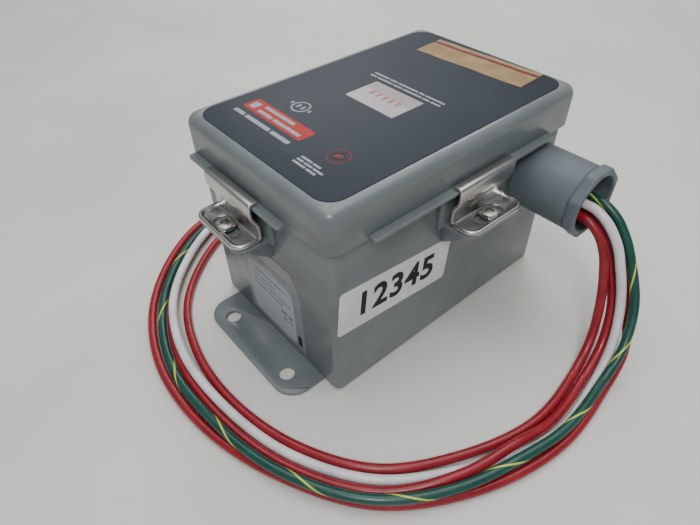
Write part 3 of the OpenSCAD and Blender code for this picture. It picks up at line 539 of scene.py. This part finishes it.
def along(line, first=None):
    """Unit directions along a line of points, each from the point before to the point after."""
    way = np.gradient(line, axis=0)
    if first is not None:
        way[0] = first
    return way / np.linalg.norm(way, axis=1)[:, None]


def swept(line, loop, way):
    """A grid of points: a flat loop (sideways, upright) carried along a line, square to its direction."""
    side = np.cross(way, (0.0, 0.13, 1.0))
    side /= np.linalg.norm(side, axis=1)[:, None]
    upright = np.cross(side, way)
    return line[:, None] + loop[None, :, :1] * side[:, None] + loop[None, :, 1:] * upright[:, None]


def insulation(name, dark, light):
    """Glossy plastic with slight clouding in its colour and faint drawing marks along the wire."""
    made = finish_of(name, 0.3, Coat_Weight=0.12, Coat_Roughness=0.12, Specular_IOR_Level=0.45)
    tint(made, blotches(made, 90, detail=5), dark, light)
    dull(made, blotches(made, 240, detail=5), 0.24, 0.4)
    relief(made, blotches(made, 420, detail=3), 0.00008, 0.5)
    return made


red_plastic = insulation("red_insulation", (0.235, 0.006, 0.015), (0.305, 0.010, 0.022))
white_plastic = insulation("white_insulation", (0.62, 0.61, 0.63), (0.76, 0.75, 0.77))
green_plastic = insulation("green_insulation", (0.005, 0.055, 0.042), (0.009, 0.078, 0.060))

# The yellow stripe winds round the green lead once every 45 mm
stripe_pitch, stripe_part = 45.0, 0.06
nodes, link = green_plastic.node_tree.nodes, green_plastic.node_tree.links.new
lead_map, map_parts = nodes.new("ShaderNodeUVMap"), nodes.new("ShaderNodeSeparateXYZ")
lead_map.uv_map = "along"
turns, wound, inside = (nodes.new("ShaderNodeMath") for _ in range(3))
turns.operation, wound.operation, inside.operation = "MULTIPLY_ADD", "FRACT", "LESS_THAN"
turns.inputs[1].default_value, inside.inputs[1].default_value = 1 / stripe_pitch, stripe_part
stripe = nodes.new("ShaderNodeMix")
stripe.data_type = "RGBA"
stripe.inputs["B"].default_value = (0.55, 0.62, 0.06, 1)
link(lead_map.outputs[0], map_parts.inputs[0])
link(map_parts.outputs["Y"], turns.inputs[0])
link(map_parts.outputs["X"], turns.inputs[2])
link(turns.outputs[0], wound.inputs[0])
link(wound.outputs[0], inside.inputs[0])
link(inside.outputs[0], stripe.inputs["Factor"])
link(nodes["Principled BSDF"].inputs["Base Color"].links[0].from_socket, stripe.inputs["A"])
drive(green_plastic, "Base Color", stripe.outputs["Result"])

copper = finish_of("bare_copper", 0.3, 1.0)
tint(copper, blotches(copper, 700, detail=4), (0.62, 0.27, 0.14), (0.86, 0.45, 0.27))
dull(copper, blotches(copper, 1500), 0.22, 0.42)

lead_d, strand_d, strip_l = 4.6, 0.62, 12.0
lay_r, lay_pitch = 1.14, 45.0
insulations = {"red_a": red_plastic, "white": white_plastic, "red_b": red_plastic, "green": green_plastic,
               "red_c": red_plastic}


def strands(end, way):
    """Twelve round strands laid as a slow twist on a circle, and one thick strand in their middle."""
    reach = np.linspace(-1.5, strip_l, 30)
    side = np.cross(way, (0, 0, 1.0))
    grids = [swept(end + np.outer([-1.5, strip_l - 0.6], way), circle(1.0, 12), np.array([way, way]))]
    for k in range(12):
        angle = 2 * np.pi * (k / 12 + reach / lay_pitch)
        line = (end + np.outer(reach, way) + np.outer(lay_r * np.cos(angle), side)
                + np.outer(lay_r * np.sin(angle), (0, 0, 1)))
        grids.append(swept(line, circle(strand_d / 2, 8), along(line)))
    return grids


for lead, route in routes.items():
    line = bowed(route, first=(1, 0, 0))
    way = along(line, first=(1, 0, 0))
    tube = shell(f"{lead}_lead", "box", insulations[lead], swept(line, circle(lead_d / 2, 24), way),
                 lay_uv=True)
    ends = shell(f"{lead}_strands", "box", copper, *strands(line[-1], way[-1]))
    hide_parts(f"lead_{lead}")
    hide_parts("lead_copper")
    inner_line = bowed(inner_routes[lead] + [route[0]])
    inner = shell(f"{lead}_inner_lead", "box", insulations[lead],
                  swept(inner_line, circle(lead_d / 2, 24), along(inner_line)), lay_uv=True)
    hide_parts("inner_leads")


# ---- Lid ----
# A pan formed from one sheet of the same steel, with rounded edges and corners and a window cut
# in its top. Narrow lips for the clamps are welded on along three sides of its skirt.
def rounded_loop(width, length, radius, steps=12):
    """Corners of a rectangle turned as quarter circles: the centre of each plus radius (cos, sin). The
    radius is one number, or four for the corners +X+Y, -X+Y, -X-Y and +X-Y."""
    radius = np.repeat(np.broadcast_to(np.array(radius, float), (4,)), steps + 1)
    turn = np.add.outer(np.arange(4) * np.pi / 2, np.linspace(0, np.pi / 2, steps + 1)).ravel()
    side_x, side_y = np.repeat([1, -1, -1, 1], steps + 1), np.repeat([1, 1, -1, -1], steps + 1)
    return np.stack([side_x * (width / 2 - radius) + radius * np.cos(turn),
                     side_y * (length / 2 - radius) + radius * np.sin(turn)], -1)


def at_height(loop, height, centre=(0, 0)):
    """A flat loop put at a height, round a centre."""
    return np.concatenate([loop + centre, np.full((len(loop), 1), float(height))], 1)


lid_w, lid_l, corner_r, edge_r, sheet_t = 107.4, 158.2, 7.5, 4.8, 1.9
skirt_z, lid_z, lid_top_z = 91.8, 109.9, 111.8


def lid_row(inset, height):
    """The lid's outline drawn in by inset."""
    return at_height(rounded_loop(lid_w - 2 * inset, lid_l - 2 * inset, max(corner_r - inset, 0.6)), height)


quarter = np.linspace(0, np.pi / 2, 11)
window_edge = rounded_loop(32.4, 21, 0.3)
window_middle = (0.4, -1.8)
inner_r = edge_r - sheet_t
lid_rows = [lid_row(0.5, skirt_z), lid_row(0.15, skirt_z + 0.1), lid_row(0, skirt_z + 0.4),
            lid_row(0, lid_top_z - edge_r - 0.6)]
lid_rows += [lid_row(edge_r * (1 - np.cos(a)), lid_top_z - edge_r * (1 - np.sin(a))) for a in quarter]
lid_rows += [lid_row(edge_r + 0.6, lid_top_z), at_height(window_edge, lid_top_z, window_middle),
             at_height(window_edge, lid_z, window_middle), lid_row(edge_r + 0.6, lid_z)]
lid_rows += [lid_row(edge_r - inner_r * np.cos(a), lid_z - inner_r * (1 - np.sin(a)))
             for a in quarter[::-1]]
lid_rows += [lid_row(sheet_t, skirt_z + 0.4), lid_row(sheet_t - 0.15, skirt_z + 0.1),
             lid_row(sheet_t - 0.5, skirt_z)]


def plate_rows(width, length, radius, low, high, edge, centre=(0, 0), steps=6):
    """Rows of a flat plate whose top and bottom edges are broken by a quarter round of that size."""
    rounds = np.linspace(0, np.pi / 2, 4)
    below = [(edge * (1 - np.sin(a)), low + edge * (1 - np.cos(a))) for a in rounds]
    above = [(edge * (1 - np.cos(a)), high - edge * (1 - np.sin(a))) for a in rounds]
    rows = [(edge * 1.5, low)] + below + above + [(edge * 1.5, high)]
    return np.stack([at_height(rounded_loop(width - 2 * inset, length - 2 * inset,
                                            np.maximum(np.array(radius) - inset, 0.05), steps), z, centre)
                     for inset, z in rows])


lip_w, side_lip_l, end_lip_l, lip_edge = 4.9, 118, 73, 0.35
lips = [plate_rows(lip_w, side_lip_l, (1.6, 0.3, 0.3, 1.6), skirt_z, skirt_z + sheet_t, lip_edge,
                   (55.25, 0))]
for side in (-1, 1):
    corners = (1.6, 1.6, 0.3, 0.3) if side > 0 else (0.3, 0.3, 1.6, 1.6)
    lips.append(plate_rows(end_lip_l, lip_w, corners, skirt_z, skirt_z + sheet_t, lip_edge,
                           (-10.5, side * 80.65)))
lid_pan = shell("lid_pan", "lid", gray_paint, np.stack(lid_rows), ring=True)
lid_lips = shell("lid_lips", "lid", gray_paint, *lips)
for piece in (lid_pan, lid_lips):
    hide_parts("lid")

foam = finish_of("gasket_foam", 0.95)
tint(foam, blotches(foam, 900, detail=6), (0.012, 0.012, 0.012), (0.035, 0.035, 0.034))
relief(foam, blotches(foam, 1800, detail=6), 0.0003)
dress(foam, "lid_gasket")
round_edges(0.6, "lid_gasket")


# ---- Front label, window and status lens ----
# A dark blue printed film over the whole top of the lid, a frosted window in it, and a red lens.
# The print is plain: a red bar, pale rules where lines of print would be, and two rings.
navy_film = finish_of("navy_film", 0.4, Specular_IOR_Level=0.14)
tint(navy_film, blotches(navy_film, 25, detail=8), (0.008, 0.015, 0.028), (0.012, 0.020, 0.035))
dull(navy_film, blotches(navy_film, 12, detail=3), 0.43, 0.50)
relief(navy_film, blotches(navy_film, 2200, detail=2), 0.00002, 0.6)
dress(navy_film, "front_label")
round_edges(0.1, "front_label", rounds=1)


def ink(name, dark, light):
    """Screen print: matt colour that covers unevenly."""
    made = finish_of(name, 0.5, Specular_IOR_Level=0.15)
    tint(made, blotches(made, 500, detail=6), dark, light)
    return made


pale_ink = ink("pale_ink", (0.24, 0.27, 0.30), (0.36, 0.38, 0.41))
red_ink = ink("red_ink", (0.33, 0.014, 0.014), (0.42, 0.024, 0.022))
dark_red_ink = ink("dark_red_ink", (0.12, 0.010, 0.016), (0.18, 0.016, 0.024))
faint_ink = ink("faint_ink", (0.40, 0.12, 0.13), (0.46, 0.17, 0.18))
film_z, print_t = 112.1, 0.03


def bar(x0, y0, x1, y1, low=film_z):
    """A printed rectangle with slightly soft corners."""
    return plate_rows(x1 - x0, y1 - y0, min(x1 - x0, y1 - y0) * 0.12, low, low + print_t, 0.005,
                      ((x0 + x1) / 2, (y0 + y1) / 2), steps=2)


def rules(x0, x1, y, height, words, low=film_z):
    """A row of bars from x0 to x1, as long as the words of a line of print, with even gaps between them."""
    gap = height * 0.6
    scale = (x1 - x0 - gap * (len(words) - 1)) / sum(words)
    start = x0
    made = []
    for word in words:
        made.append(bar(start, y - height / 2, start + word * scale, y + height / 2, low))
        start += word * scale + gap
    return made


def flat_ring(x, y, outer, inner, low=film_z, columns=72):
    """A printed ring: a flat section carried round a circle."""
    section = [(outer, low), (outer, low + print_t), (inner, low + print_t), (inner, low)]
    return np.stack([at_height(circle(reach, columns), z, (x, y)) for reach, z in section])


def printed(name, body, material, *grids, ring=False):
    """Print on the front label."""
    made = shell(name, body, material, *grids, ring=ring)
    return made


printed("red_bar", "lid", red_ink, bar(-39.5, -54.5, 4.5, -45))
printed("bar_rules", "lid", pale_ink, *rules(-30, -8, -47.6, 2.0, (7,), film_z + print_t),
        *rules(-30, 1.5, -51.8, 2.0, (4, 7), film_z + print_t),
        bar(-37.5, -52.4, -33, -47.4, film_z + print_t))
printed("lower_rules", "lid", pale_ink, *rules(-39, 3, -58.6, 2.3, (3, 7, 5)))
printed("upper_rules", "lid", pale_ink, *rules(-23.5, 23.5, 14.6, 1.3, (6, 3, 8, 2, 7)),
        *rules(-23.5, 23.5, 11.6, 1.3, (3, 7, 4, 8, 3, 4)))
printed("side_rules", "lid", pale_ink, *rules(14.5, 27, -60.4, 1.2, (6, 4)),
        *rules(14.5, 31, -62.6, 1.2, (4, 5, 6)), *rules(14.5, 29, -64.8, 1.2, (7, 5)))
printed("round_mark", "lid", pale_ink, flat_ring(-19.4, -35.5, 4.8, 4.0), ring=True)
printed("mark_dots", "lid", pale_ink, bar(-21.6, -37, -20.3, -34), bar(-18.5, -37, -17.2, -34),
        bar(-26.5, -36.5, -25.3, -34.5), bar(-13.5, -36.5, -12.3, -34.5))
printed("lens_ring", "lid", dark_red_ink, flat_ring(25, -49.5, 5.4, 4.7), ring=True)

frosted = finish_of("frosted_window", 0.42, Subsurface_Weight=0.25, Subsurface_Scale=0.001, Coat_Weight=0.2)
tint(frosted, blotches(frosted, 60, detail=6), (0.25, 0.21, 0.23), (0.31, 0.265, 0.285))
relief(frosted, blotches(frosted, 3000), 0.00002, 0.6)
dress(frosted, "display_window")
round_edges(0.1, "display_window", rounds=1)
window_marks = shell("window_marks", "lid", faint_ink, *rules(-9, 10, -1.2, 4.2, (1, 1, 1, 1, 1)))
dress(red_glass, "status_lens")
round_edges(0.25, "status_lens")


# ---- Paper tape ----
# A length of tan paper tape stuck by hand across the far end of the label, a little askew, with
# a maroon line along it. It doesn't lie quite flat.
paper = finish_of("tan_paper", 0.8)
tint(paper, blotches(paper, 90, detail=8), (0.25, 0.17, 0.075), (0.33, 0.24, 0.115))
relief(paper, blotches(paper, 900, (0.25, 1, 1), 5), 0.00012, 0.7)
relief(paper, blotches(paper, 90, (1, 0.2, 1), 3), 0.0005, 0.5)
maroon = ink("maroon_ink", (0.12, 0.012, 0.020), (0.20, 0.030, 0.035))
tape_turn = np.radians(3)


def tape_rows(length, width, off_y, low, thickness):
    """Rows of a strip along X, turned and set in its place: its height waves by two sines along it."""
    x = np.linspace(-length / 2, length / 2, 90)
    wave = 0.10 + 0.06 * np.sin(x / 5.2 + 1) + 0.04 * np.sin(x / 2.1)
    loop = rounded_loop(width, thickness, thickness * 0.4, 3)
    place = np.stack([x[:, None] + 0 * loop[None, :, 0], off_y + loop[None, :, 0] + 0 * x[:, None],
                      low + wave[:, None] + loop[None, :, 1]], -1)
    turned = place.copy()
    turned[..., 0] = 3 + place[..., 0] * np.cos(tape_turn) - place[..., 1] * np.sin(tape_turn)
    turned[..., 1] = 62 + place[..., 0] * np.sin(tape_turn) + place[..., 1] * np.cos(tape_turn)
    return turned


tape = shell("tape", "lid", paper, tape_rows(66, 20, 0, film_z + 0.02, 0.16))
tape_line = shell("tape_line", "lid", maroon, tape_rows(65.8, 2.6, 5.6, film_z + 0.1, 0.05))
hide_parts("tape_sticker")


# ---- Clamps ----
# Each clamp is one stamping of bright stainless steel: a hook over the lip, a web, and a tray
# with a raised rim and a slot. A stainless pan-head screw holds it down on the bracket.
def brushed(name, stretch):
    """Bright rolled steel with very fine lines along one direction."""
    made = finish_of(name, 0.2, 1.0)
    tint(made, blotches(made, 60, detail=4), (0.50, 0.49, 0.48), (0.57, 0.56, 0.55))
    dull(made, blotches(made, 70, stretch, 3), 0.27, 0.31)
    relief(made, blotches(made, 900, stretch, 2), 0.000002, 0.3)
    return made


side_steel = brushed("clamp_steel_side", (6, 1, 6))
end_steel = brushed("clamp_steel_ends", (1, 6, 6))
shelf_z, tray_t, clamp_w, screw_out, slot_w, slot_l = 73.7, 1.5, 37.0, 11.6, 6.6, 17.0
tray_in, tray_out = 4.5, 18.2

hook = np.array([(4.1, 94.65), (7.35, 94.65), (8.15, 93.85), (8.15, 88.65), (7.45, 86.65), (5.65, 83.65),
                 (4.95, 81.65), (4.95, 76.05), (5.4, 74.9), (6.6, 74.43), (8.2, 74.43)])


def eased(points, times=3):
    """A line with its corners cut at a quarter of each side, several times over."""
    for _ in range(times):
        cut = np.stack([0.75 * points[:-1] + 0.25 * points[1:], 0.25 * points[:-1] + 0.75 * points[1:]], 1)
        points = np.vstack([points[:1], cut.reshape(-1, points.shape[1]), points[-1:]])
    return points


def strip_rows(line, width, thickness):
    """A flat section with round edges carried along a line in the plane of the clamp, square to it."""
    line = eased(line)
    way = np.gradient(line, axis=0)
    way /= np.linalg.norm(way, axis=1)[:, None]
    loop = rounded_loop(width, thickness, 0.45, 4)
    out = line[:, :1] - way[:, 1:] * loop[None, :, 1]
    up = line[:, 1:] + way[:, :1] * loop[None, :, 1]
    return np.stack([out, loop[None, :, 0] + 0 * out, up], -1)


def tray_loop(inset, height):
    """The tray's outline drawn in by inset on its three free sides."""
    loop = rounded_loop(tray_out - inset - tray_in, clamp_w - 2 * inset,
                        (max(6 - inset, 1), 0.3, 0.3, max(6 - inset, 1)))
    return at_height(loop, height, ((tray_in + tray_out - inset) / 2, 0))


def slot_loop(outset, height):
    """The slot's outline widened by outset."""
    loop = rounded_loop(slot_w + 2 * outset, slot_l + 2 * outset, slot_w / 2 - 0.02 + outset)
    return at_height(loop, height, (screw_out, 0))


tray_rows = [slot_loop(0.3, shelf_z), slot_loop(0.05, shelf_z + 0.15), slot_loop(0, shelf_z + 0.5),
             slot_loop(0, shelf_z + 1.1), slot_loop(0.1, shelf_z + 1.35), slot_loop(0.35, shelf_z + 1.5)]
tray_rows += [tray_loop(inset, shelf_z + height) for inset, height in (
    (3.3, 1.5), (2.8, 1.55), (2.4, 1.75), (2.05, 2.1), (1.7, 2.4), (1.3, 2.56), (0.8, 2.56), (0.35, 2.4),
    (0.08, 2.1), (0, 1.7), (0, 0.9), (0.1, 0.55), (0.4, 0.25), (0.9, 0.08), (1.5, 0.0))]

steel_screw = finish_of("nickel_plate", 0.3, 1.0)
tint(steel_screw, blotches(steel_screw, 500, detail=7), (0.34, 0.33, 0.31), (0.50, 0.48, 0.45))
dull(steel_screw, blotches(steel_screw, 900, detail=6), 0.22, 0.46)
relief(steel_screw, blotches(steel_screw, 1300), 0.00004, 0.6)
head_z, head_r, head_h, shank_r = 75.3, 4.6, 3.0, 2.4


def screw_head():
    """Rows of the head from under its rim to the middle of its top. The top is a low dome, less a cross
    whose four arms narrow and shallow towards their ends: the depth is the larger of two products of a
    ramp across the arm and a ramp along it."""
    under_and_side = [shank_r - 0.35, head_r - 0.3, head_r - 0.08, head_r, head_r, head_r - 0.04]
    outer_dome = head_r * np.cos(np.linspace(0.16, 1.0, 10))
    recess_rows = np.linspace(2.25, 0.06, 26)
    reach = np.concatenate([under_and_side, outer_dome, recess_rows])[:, None]
    dome = head_h * (0.72 + 0.28 * np.sqrt(np.clip(1 - (reach / head_r) ** 2.6, 0, 1)))
    rim = np.array([0, 0, 0.08, 0.3, head_h * 0.66, head_h * 0.78])[:, None]
    height = np.concatenate([rim, dome[6:]])
    angle = np.linspace(0, 2 * np.pi, 64, endpoint=False)[None, :]
    x, y = reach * np.cos(angle), reach * np.sin(angle)

    def arm(across, lengthways):
        wide = np.clip((0.85 - 0.12 * abs(lengthways) - abs(across)) / 0.22, 0, 1)
        return wide * np.clip((2.45 - abs(lengthways)) / 1.1, 0, 1)

    depth = 1.9 * np.maximum(arm(x, y), arm(y, x)) * (reach < 2.6)
    return np.stack([x, y, head_z + height - depth], -1)


shank = threaded(65.4, head_z, shank_r, 1.06, 0.32)
screw_rows = np.concatenate([shank, screw_head()]) + (screw_out, 0, 0)


end_wall_y, side_clamp_y, end_clamp_x = 76.2, 7, -10.5


def on_wall(grid, name):
    """Moves a grid drawn against the conduit wall at its middle to the wall of that name."""
    x, y, z = np.moveaxis(grid, -1, 0)
    if name == "side":
        return np.stack([x + wall_x, y + side_clamp_y, z], -1)
    if name == "near":
        return np.stack([y + end_clamp_x, -x - end_wall_y, z], -1)
    return np.stack([-y + end_clamp_x, x + end_wall_y, z], -1)


for wall in ("side", "near", "far"):
    steel = side_steel if wall == "side" else end_steel
    clamp_hook = shell(f"{wall}_clamp_hook", f"clamp_{wall}", steel,
                       on_wall(strip_rows(hook, clamp_w, tray_t), wall))
    tray = shell(f"{wall}_clamp_tray", f"clamp_{wall}", steel,
                 on_wall(np.stack(tray_rows), wall), ring=True)
    for piece in (clamp_hook, tray):
        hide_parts(f"clamp_{wall}")
    screw = shell(f"{wall}_clamp_screw", f"screw_{wall}", steel_screw, on_wall(screw_rows, wall))
    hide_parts(f"screw_{wall}")


# ---- Rating label ----
# A silver film label on the near end with two corners cut off, a lighter panel, and rules where
# its lines of print would be.
silver_film = finish_of("silver_film", 0.4, 0.35, Coat_Weight=0.2, Coat_Roughness=0.2)
tint(silver_film, blotches(silver_film, 45, detail=7), (0.25, 0.27, 0.29), (0.33, 0.35, 0.37))
relief(silver_film, blotches(silver_film, 2600), 0.00002, 0.6)
dress(silver_film, "rating_label")
panel_ink = ink("panel_ink", (0.36, 0.39, 0.42), (0.43, 0.46, 0.49))
gray_ink = ink("gray_ink", (0.16, 0.17, 0.19), (0.22, 0.23, 0.25))
black_ink = ink("black_ink", (0.012, 0.012, 0.014), (0.022, 0.022, 0.024))


def on_near_end(grid):
    """Stands a flat grid up against the near end: across is X, up is Z, and out is -Y."""
    across, up, out = np.moveaxis(grid, -1, 0)
    return np.stack([across, -76.4 - out, up], -1)


label_prints = {
    "rating_panel": (panel_ink, [bar(-20, 8, 19, 45, 0)]),
    "rating_rules": (gray_ink, rules(-16, 15, 50.5, 0.9, (5, 3, 7, 4), 0)
                     + rules(-16, 15, 48.4, 0.9, (4, 6, 3, 5), 0)
                     + rules(-13, 12, 41, 1.0, (5, 4, 6), print_t) + rules(-16, 4, 37, 0.8, (6, 3), print_t)
                     + rules(-16, 16, 33.5, 0.8, (3, 5, 4, 7), print_t)
                     + rules(-16, 10, 30, 0.8, (7, 3, 4), print_t)
                     + rules(7, 17, 25, 2.0, (3, 2), print_t) + rules(9, 17, 21, 1.6, (2, 3), print_t)),
    "rating_block": (black_ink, [bar(20.2, 9.6, 23.4, 17, 0)]),
}
for name, (material, bars) in label_prints.items():
    shell(name, "box", material, *[on_near_end(grid) for grid in bars])


# ---- Inventory sticker ----
# A white vinyl sticker on the conduit side with round corners and five plain black digits, put
# on by hand and a little askew.
white_vinyl = finish_of("white_vinyl", 0.42, Coat_Weight=0.1)
tint(white_vinyl, blotches(white_vinyl, 40, detail=8), (0.66, 0.67, 0.67), (0.76, 0.77, 0.77))
relief(white_vinyl, blotches(white_vinyl, 300), 0.00006, 0.5)
dress(white_vinyl, "inventory_sticker")

digits_curve = bpy.data.curves.new("digits", "FONT")
digits_curve.body, digits_curve.size, digits_curve.offset = "12345", 19, 0.55
digits_curve.align_x, digits_curve.align_y, digits_curve.extrude = "CENTER", "CENTER", print_t
digits_curve.space_character = 1.08
digits_object = bpy.data.objects.new("digits_source", digits_curve)
bpy.context.scene.collection.objects.link(digits_object)
digits_solid = digits_object.evaluated_get(bpy.context.evaluated_depsgraph_get())
digits_mesh = bpy.data.meshes.new_from_object(digits_solid)
bpy.data.objects.remove(digits_object)
corners = np.zeros(len(digits_mesh.vertices) * 3)
digits_mesh.vertices.foreach_get("co", corners)
across, up, out = corners.reshape(-1, 3).T
lean = np.radians(-5.4)
digits_mesh.vertices.foreach_set("co", np.stack([
    51.0 + print_t + out, -39 + across * np.cos(lean) - up * np.sin(lean),
    51 + across * np.sin(lean) + up * np.cos(lean)], -1).ravel() / 1000)
digits_mesh.materials.clear()
digits_mesh.materials.append(black_ink)
digits = bpy.data.objects.new("digits", digits_mesh)
bpy.context.scene.collection.objects.link(digits)
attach(digits, "box")
